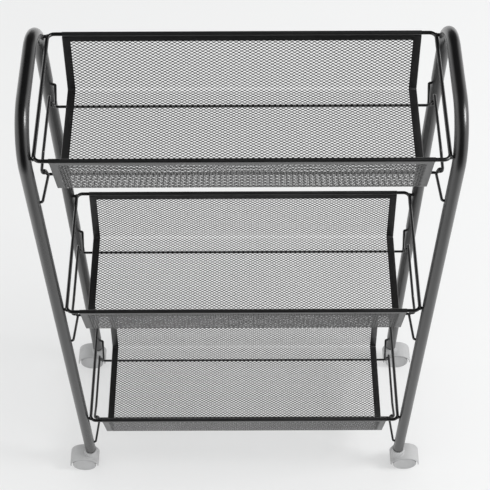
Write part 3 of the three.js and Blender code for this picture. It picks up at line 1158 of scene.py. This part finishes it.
    def rim_hem(self, end: End) -> Shell:
        """The sheet's edge rolled over the rim wire, its two sides pressed flat under it.

        The section runs up the inside, round the wire at its radius and half the sheet,
        and down the outside, and is given the sheet's thickness along its normals.
        """
        slope = unit(np.array([[self.top_y - self.floor_half_y, self.floor_drop]]))[0]
        out = np.array([slope[1], -slope[0]])
        centre = np.array([self.top_y, 0.0])
        roll = self.rim_wire_r + 0.5 * self.sheet + self.roll_gap
        neck = self.roll_neck
        inside_foot = centre - slope * (neck + self.hem_inside) - out * 0.5 * self.sheet
        inside_neck = centre - slope * neck - out * 0.5 * self.sheet
        outside_neck = centre - slope * neck + out * self.sheet
        outside_foot = centre - slope * (neck + self.hem_outside) + out * self.sheet
        turn = np.linspace(math.radians(self.roll_from_deg), math.radians(self.roll_to_deg), 25)[::-1]
        arc = centre + roll * (np.cos(turn)[:, None] * out + np.sin(turn)[:, None] * slope)
        path = np.concatenate([[inside_foot, inside_neck], arc, [outside_neck, outside_foot]])
        way = unit(np.gradient(path, axis=0))
        normal = np.column_stack([-way[:, 1], way[:, 0]])
        half = 0.5 * self.sheet
        outline = np.concatenate([path + normal * half, (path - normal * half)[::-1]])
        reach = np.array([-1.0, -0.999, 0.999, 1.0]) * (self.half_x - self.hem_inset)
        grid = np.empty((len(reach), len(outline), 3))
        grid[..., 0] = reach[:, None]
        grid[..., 1] = end.value * outline[:, 0]
        grid[..., 2] = outline[:, 1]
        return tube_shell(grid, closed=False)

    def end_hem(self, side: Side) -> Shell:
        """The sheet's plain end folded out and back on itself, carried along the bent section.

        The hairpin runs out along the mesh, round a half turn at the end and back.
        """
        half = 0.5 * self.sheet
        gap = self.fold_gap + self.sheet
        fold = 0.5 * gap
        turn = np.linspace(-90.0, 90.0, 9)
        out_x = self.half_x - fold - half
        arc = np.column_stack(
            [out_x + fold * np.cos(np.radians(turn)), half + fold + fold * np.sin(np.radians(turn))]
        )
        start = np.array([[self.half_x - self.margin - self.fold_overlap, half]])
        finish = np.array([[self.half_x - self.flap, half + gap - self.fold_pinch]])
        path = np.concatenate([start, arc, finish])
        way = unit(np.gradient(path, axis=0))
        normal = np.column_stack([-way[:, 1], way[:, 0]])
        outline = np.concatenate([path + normal * half, (path - normal * half)[::-1]])
        ends = self.fold_inset
        s = self.section_s[(self.section_s > ends) & (self.section_s < self.length - ends)]
        s = np.concatenate([[ends], s, [self.length - ends]])
        depth = outline[None, :, 1] - self.fold_sink
        grid = self.at(side.value * outline[None, :, 0], s[:, None], depth)
        return tube_shell(grid, closed=False)


@dataclass
class Basket:
    """One tier: rim wire, mesh trough with its hems, cross wires and stay wires."""

    tier: Tier
    rim: RimWire = field(default_factory=RimWire)
    wires: EndWires = field(default_factory=EndWires)
    trough: MeshTrough = field(default_factory=MeshTrough)
    floor_first_row: int = 34
    front_first_row: int = 109

    def build(self, shop: Workshop) -> None:
        """Makes the tier's pieces at its height."""
        z = self.tier.rim_z
        label = self.tier.label
        body = "cart_frame"
        rim = [shell.shifted(z=z) for shell in self.rim.shells()]
        shop.make(f"{label}_rim_wire", rim, Slot.BLACK_COAT, body, (f"{label}_rim_loop",))
        for end in End:
            cross = self.wires.cross_wire(end).shifted(z=z - self.wires.drop)
            name = f"{label}_{end.label}_cross_wire"
            shop.make(f"{name}_bent", [cross], Slot.BLACK_COAT, body, (name,))
        for side in Side:
            stay = [shell.shifted(z=z - self.wires.drop) for shell in self.wires.stay_wire(side)]
            name = f"{label}_{side.label}_stay_wire"
            shop.make(f"{name}_curled", stay, Slot.BLACK_COAT, body, (name,))
        self.build_trough(shop)

    def build_trough(self, shop: Workshop) -> None:
        """Makes the mesh in three runs of rows, and the plain hems."""
        z = self.tier.rim_z
        label = self.tier.label
        node = f"{label}_mesh_trough"
        runs = {
            "rear_mesh": (0, self.floor_first_row),
            "floor_mesh": (self.floor_first_row, self.front_first_row),
            "front_mesh": (self.front_first_row, self.trough.rows),
        }
        for name, (first, last) in runs.items():
            lattice = self.trough.diamonds(first, last).shifted(z=z)
            shop.make(f"{label}_{name}", [lattice], Slot.BLACK_MESH, "cart_frame", (node,), sharp_deg=30.0)
        hems = [self.trough.rim_hem(end) for end in End] + [self.trough.end_hem(side) for side in Side]
        hems = [hem.shifted(z=z) for hem in hems]
        shop.make(f"{label}_sheet_hems", hems, Slot.BLACK_MESH, "cart_frame", (node,))


# ------------------------------------------------------------------- casters


@dataclass
class Caster:
    """One twin-wheel swivel caster under a leg; its wheels trail outwards."""

    end: End
    side: Side
    leg_x: float = 211.5
    leg_y: float = 81.0
    trail: float = 10.6
    wheel_r: float = 16.0
    wheel_in_y: float = 2.1
    wheel_out_y: float = 11.4
    hood_r: float = 19.6
    hood_bore_r: float = 18.0
    hood_half_y: float = 12.0
    edge_r: float = 1.3
    bore_edge_r: float = 0.35
    crown: float = 0.15
    crown_r: float = 8.0
    web_half_y: float = 1.7
    web_r: float = 18.3
    hub_r: float = 5.2
    boss_r: float = 8.3
    boss_fillet: float = 2.4
    boss_top_z: float = 43.4
    boss_wall_top_z: float = 42.2
    boss_lip: float = 0.8
    boss_sides: int = 72
    wheel_edge: float = 1.0
    stem_hole_r: float = 4.3
    stem_foot_z: float = 35.0
    sleeve_top_z: float = 56.0
    sleeve_r: float = 5.7
    flange_r: float = 6.9
    flange_z: tuple[float, float] = (43.7, 45.7)

    @property
    def label(self) -> str:
        """Start of this caster's piece names."""
        return f"{self.end.label}_{self.side.label}"

    def placed(self, shell: Shell) -> Shell:
        """A shell worked about the leg's axis, with the wheels towards +X, put under its leg."""
        turned_shell = shell.mirrored(x=self.side.value)
        return turned_shell.shifted(x=self.side.value * self.leg_x, y=self.end.value * self.leg_y)

    def hood_height(self, x: Array, radius: float) -> Array:
        """Height of a barrel of this radius about the axle, at a place along X from the stem."""
        off = x - self.trail
        return self.wheel_r + np.sqrt(np.maximum(radius**2 - off**2, 0.0))

    def arch(self) -> Shell:
        """The hood's half barrel: a rounded flat section (radius, y) swept from 0 to 180 degrees.

        Its outside is slightly crowned, and its open edges are rounded.
        """
        r_in = self.hood_bore_r
        r_out = self.hood_r
        y = self.hood_half_y
        corners = np.array([[r_in, -y], [r_out, -y], [r_out + self.crown, 0.0], [r_out, y], [r_in, y]])
        radii = np.array([self.bore_edge_r, self.edge_r, self.crown_r, self.edge_r, self.bore_edge_r])
        section = rounded_outline(corners, radii, 7)
        angle = np.linspace(0.0, np.pi, 61)[:, None]
        x = self.trail + section[None, :, 0] * np.cos(angle)
        z = self.wheel_r + section[None, :, 0] * np.sin(angle)
        across = np.broadcast_to(section[None, :, 1], x.shape)
        return tube_shell(np.stack([x, across, z], -1), closed=False)

    def web(self) -> Shell:
        """The plate between the wheels: a half disc that drops to a round hub at the axle."""
        angle = np.linspace(0.0, np.pi, 41)
        arc = self.web_r * np.column_stack([np.cos(angle), np.sin(angle)])
        hub_angle = np.linspace(np.pi, 2 * np.pi, 21)
        hub = self.hub_r * np.column_stack([np.cos(hub_angle), np.sin(hub_angle)])
        outline = np.concatenate([arc, hub])
        grid = np.empty((2, len(outline), 3))
        grid[..., 0] = self.trail + outline[:, 0]
        grid[..., 1] = np.array([-self.web_half_y, self.web_half_y])[:, None]
        grid[..., 2] = self.wheel_r + outline[:, 1]
        return tube_shell(grid, closed=False)

    def boss(self) -> Shell:
        """The stem's boss, filleted into the barrel.

        Each spoke is a quadratic curve from the barrel at boss + fillet to the boss wall,
        then the wall, the rounded lip, the top and the stem's hole. Under the barrel's
        skin the foot follows its inner face.
        """
        sides = self.boss_sides
        turn = 2 * np.pi * np.arange(sides) / sides
        cosine = np.cos(turn)
        sine = np.sin(turn)
        fillet = self.boss_fillet * (0.12 + 0.88 * (0.5 + 0.5 * cosine) ** 0.35)
        foot_r = self.boss_r + fillet
        foot_z = self.hood_height(foot_r * cosine, self.hood_r)
        knee_z = self.hood_height(self.boss_r * cosine, self.hood_r)
        wall_z = np.minimum(knee_z + fillet, self.boss_wall_top_z)
        t = np.linspace(0.0, 1.0, 9)[:, None]
        curve_r = (1 - t) ** 2 * foot_r + 2 * t * (1 - t) * self.boss_r + t**2 * self.boss_r
        curve_z = (1 - t) ** 2 * (foot_z - 0.05) + 2 * t * (1 - t) * knee_z + t**2 * wall_z
        lip = np.radians(np.linspace(0.0, 90.0, 5))[:, None]
        round_r = self.boss_lip
        lip_r = np.broadcast_to(self.boss_r - round_r + round_r * np.cos(lip), (5, sides))
        lip_z = np.broadcast_to(self.boss_top_z - round_r + round_r * np.sin(lip), (5, sides))
        hole_r = np.full((3, sides), self.stem_hole_r)
        hole_heights = np.array([[self.boss_top_z], [self.boss_top_z - 0.3], [self.stem_foot_z]])
        hole_z = np.broadcast_to(hole_heights, (3, sides))
        under = np.array([[0.98], [0.6], [0.2]])[::-1]
        under_r = under * foot_r
        under_z = self.hood_height(under_r * cosine, self.hood_bore_r + 0.3)
        r = np.concatenate([under_r, curve_r, lip_r, hole_r])
        z = np.concatenate([under_z, curve_z, lip_z, hole_z])
        return tube_shell(np.stack([r * cosine, r * sine, z], -1), closed=False)

    def wheel(self, face: End) -> Shell:
        """One wheel: a turned disc with a shallow dish in its face and rounded tread edges.

        Its axle isn't given a bore here: the closed face hides where the two run together.
        """
        out = self.wheel_out_y
        inner = self.wheel_in_y
        rim = self.wheel_r
        t = np.radians(np.linspace(0.0, 90.0, 7))
        edge = self.wheel_edge
        tread_out = np.column_stack([rim - edge + edge * np.sin(t), out - edge + edge * np.cos(t)])
        tread_in = np.column_stack([rim - edge + edge * np.cos(t), inner + edge - edge * np.sin(t)])
        face_line = np.array(
            [
                [0.4, out - 0.75],
                [3.0, out - 0.72],
                [12.6, out - 0.66],
                [13.1, out - 0.5],
                [13.4, out - 0.1],
                [13.7, out],
            ]
        )
        back_line = np.array(
            [[11.5, inner], [11.2, inner + 2.2], [4.6, inner + 2.4], [4.4, inner], [0.4, inner]]
        )
        profile = np.concatenate([face_line, tread_out, tread_in, back_line])
        disc = about_y(turned(profile, 72, closed=False))
        return disc.mirrored(y=face.value).facing_out().shifted(x=self.trail, z=self.wheel_r)

    def sleeve(self) -> Shell:
        """The nylon sleeve in the leg's foot, with a rounded flange below it."""
        low, high = self.flange_z
        corners = np.array(
            [
                [self.stem_hole_r, low],
                [self.flange_r, low],
                [self.flange_r, high],
                [self.sleeve_r, high],
                [self.sleeve_r, self.sleeve_top_z],
                [self.stem_hole_r, self.sleeve_top_z],
            ]
        )
        section = rounded_outline(corners, np.array([0.2, 0.6, 0.4, 0.1, 0.3, 0.2]), 4)
        return turned(section, 48, closed=True)

    def build(self, shop: Workshop) -> None:
        """Makes the hood, the two wheels and the sleeve, and dresses the hidden metal parts."""
        node = f"{self.label}_caster"
        hood = [self.placed(shell) for shell in (self.arch(), self.web(), self.boss())]
        swivel = f"{self.label}_swivel"
        shop.make(f"{node}_hood_moulding", hood, Slot.GREY_PLASTIC, swivel, (f"{node}_hood",), sharp_deg=50.0)
        for face in End:
            wheel = self.placed(self.wheel(face))
            body = f"{self.label}_{face.label}_wheel"
            name = f"{node}_{face.label}_wheel"
            shop.make(f"{name}_disc", [wheel], Slot.GREY_PLASTIC, body, (name,), sharp_deg=50.0)
        sleeve = self.placed(self.sleeve())
        shop.make(f"{node}_sleeve", [sleeve], Slot.BLACK_NYLON, "cart_frame", (f"{node}_socket",))
        for part in ("stem", "grip_ring", "axle"):
            shop.dress_node(f"{node}_{part}", Slot.ZINC_STEEL)


# -------------------------------------------------------------------- studio


@dataclass
class Studio:
    """Pale floor, soft light and the camera."""

    camera_at: tuple[float, float, float] = (0.0048, -0.8606, 1.6596)
    pitch_deg: float = 55.27
    yaw_deg: float = -0.168
    roll_deg: float = -0.363
    lens: float = 94.69
    floor_tone: float = 0.45
    floor_glow: float = 0.92
    floor_near: float = 0.62
    floor_far: float = 40.0
    floor_sides: int = 96
    room_strength: float = 0.90
    mirrored_dim: float = 0.008
    mirrored_bright: float = 1.2
    key_at: tuple[float, float, float] = (1.6, -0.2, 1.9)
    key_size: tuple[float, float] = (0.6, 0.6)
    key_power: float = 24.0
    lamp_aim_z: float = 0.35

    def build_camera(self) -> None:
        """Places the camera from its pitch, yaw and roll."""
        p = math.radians(self.pitch_deg)
        y = math.radians(self.yaw_deg)
        r = math.radians(self.roll_deg)
        forward = Vector((math.sin(y) * math.cos(p), math.cos(y) * math.cos(p), -math.sin(p)))
        right = Vector((math.cos(y), -math.sin(y), 0.0))
        up = right.cross(forward)
        rolled_right = right * math.cos(r) + up * math.sin(r)
        rolled_up = up * math.cos(r) - right * math.sin(r)
        data = bpy.data.cameras.new("studio_camera")
        data.lens = self.lens
        data.clip_start = 0.05
        data.clip_end = 100.0
        camera = bpy.data.objects.new("studio_camera", data)
        turn = Matrix((rolled_right, rolled_up, -forward)).transposed().to_4x4()
        camera.matrix_world = Matrix.Translation(self.camera_at) @ turn
        bpy.context.scene.collection.objects.link(camera)
        bpy.context.scene.camera = camera

    def floor_material(self) -> bpy.types.Material:
        """Matt pale paper with a faint mottle; its glow stands for fill light."""
        mat = bpy.data.materials.new("studio_paper")
        mat.use_nodes = True
        mat.node_tree.nodes.clear()
        n = Nodes(mat.node_tree)
        where = n.add("ShaderNodeTexCoord").outputs["Object"]
        tone = self.floor_tone
        mottle = n.noise(where, 3.0, 3.0)
        darker = (tone * 0.99, tone * 0.992, tone * 0.992, 1.0)
        colour = n.blend(mottle, (tone, tone, tone, 1.0), darker)
        shader = n.add("ShaderNodeBsdfPrincipled")
        n.join(colour, shader.inputs["Base Color"])
        n.join(colour, shader.inputs["Emission Color"])
        shader.inputs["Emission Strength"].default_value = self.floor_glow
        shader.inputs["Roughness"].default_value = 0.9
        shader.inputs["Specular IOR Level"].default_value = 0.2
        output = n.add("ShaderNodeOutputMaterial")
        n.join(shader.outputs["BSDF"], output.inputs["Surface"])
        return mat

    def build_floor(self) -> None:
        """A disc under the cart, and a wide ring round it that shiny parts don't mirror."""
        sides = self.floor_sides
        angle = 2 * np.pi * np.arange(sides) / sides
        radii = np.array([0.001, self.floor_near, self.floor_far])[:, None]
        flat = np.zeros((3, sides))
        grid = np.stack([radii * np.cos(angle), radii * np.sin(angle), flat], -1) / MM
        quads = grid_quads(2, sides, False, True)[:, ::-1]
        paper = self.floor_material()
        for name, rings in (("studio_floor", grid[:2]), ("studio_floor_far", grid[1:])):
            points = rings.reshape(-1, 3)
            floor = build_piece(name, [Shell(points, [quads])], 30.0)
            floor.data.materials.append(paper)
            if name.endswith("far"):
                floor.visible_glossy = False

    def build_lamp(
        self, name: str, at: tuple[float, float, float], size: tuple[float, float], power: float
    ) -> None:
        """A soft box that looks at the middle of the cart."""
        data = bpy.data.lights.new(name, "AREA")
        data.shape = "RECTANGLE"
        data.size, data.size_y = size
        data.energy = power
        lamp = bpy.data.objects.new(name, data)
        lamp.location = at
        aim = Vector((0.0, 0.0, self.lamp_aim_z)) - Vector(at)
        lamp.rotation_mode = "QUATERNION"
        lamp.rotation_quaternion = aim.to_track_quat("-Z", "Y")
        bpy.context.scene.collection.objects.link(lamp)

    def build_world(self) -> None:
        """A pale room for the eye and for soft light, and a second one that only shiny parts mirror.

        The second is dim, but bright low down at both sides and, away from the front, under
        the horizon, where the far floor isn't mirrored.
        """
        world = bpy.data.worlds.new("studio_room")
        bpy.context.scene.world = world
        world.use_nodes = True
        world.node_tree.nodes.clear()
        n = Nodes(world.node_tree)
        path = n.add("ShaderNodeLightPath")
        room = n.add("ShaderNodeBackground")
        room.inputs["Color"].default_value = (0.93, 0.94, 0.94, 1.0)
        room.inputs["Strength"].default_value = self.room_strength
        dim = n.add("ShaderNodeBackground")
        where = n.add("ShaderNodeTexCoord").outputs["Generated"]
        parts = n.add("ShaderNodeSeparateXYZ")
        n.join(where, parts.inputs[0])
        sideways = n.span(n.math("ABSOLUTE", parts.outputs["X"]), 0.50, 0.80, 0.0, 1.0)
        low = n.span(parts.outputs["Z"], 0.45, 0.75, 1.0, 0.0)
        behind = n.span(parts.outputs["Y"], -0.85, -0.45, 0.0, 1.0)
        below = n.math("MULTIPLY", n.span(parts.outputs["Z"], -0.12, -0.02, 1.0, 0.0), behind)
        bright = n.math("MAXIMUM", n.math("MULTIPLY", sideways, low), below)
        strength = n.span(bright, 0.0, 1.0, self.mirrored_dim, self.mirrored_bright)
        n.join(strength, dim.inputs["Strength"])
        dim.inputs["Color"].default_value = (1.0, 1.0, 1.0, 1.0)
        mix = n.add("ShaderNodeMixShader")
        n.join(path.outputs["Is Glossy Ray"], mix.inputs["Fac"])
        n.join(room.outputs[0], mix.inputs[1])
        n.join(dim.outputs[0], mix.inputs[2])
        output = n.add("ShaderNodeOutputWorld")
        n.join(mix.outputs[0], output.inputs["Surface"])

    def build(self) -> None:
        """Sets up everything that isn't the cart."""
        self.build_camera()
        self.build_floor()
        self.build_world()
        self.build_lamp("key_box", self.key_at, self.key_size, self.key_power)
        bpy.context.scene.view_settings.view_transform = "Standard"
        bpy.context.scene.view_settings.look = "None"


def main() -> None:
    """Builds the studio and the cart."""
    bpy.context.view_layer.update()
    Studio().build()
    shop = Workshop()
    for side in Side:
        SideFrame(side).build(shop)
    for tier in Tier:
        Basket(tier).build(shop)
    for end in End:
        for side in Side:
            Caster(end, side).build(shop)


if __name__ == "__main__":
    logging.basicConfig(level=logging.INFO, format="%(message)s")
    main()
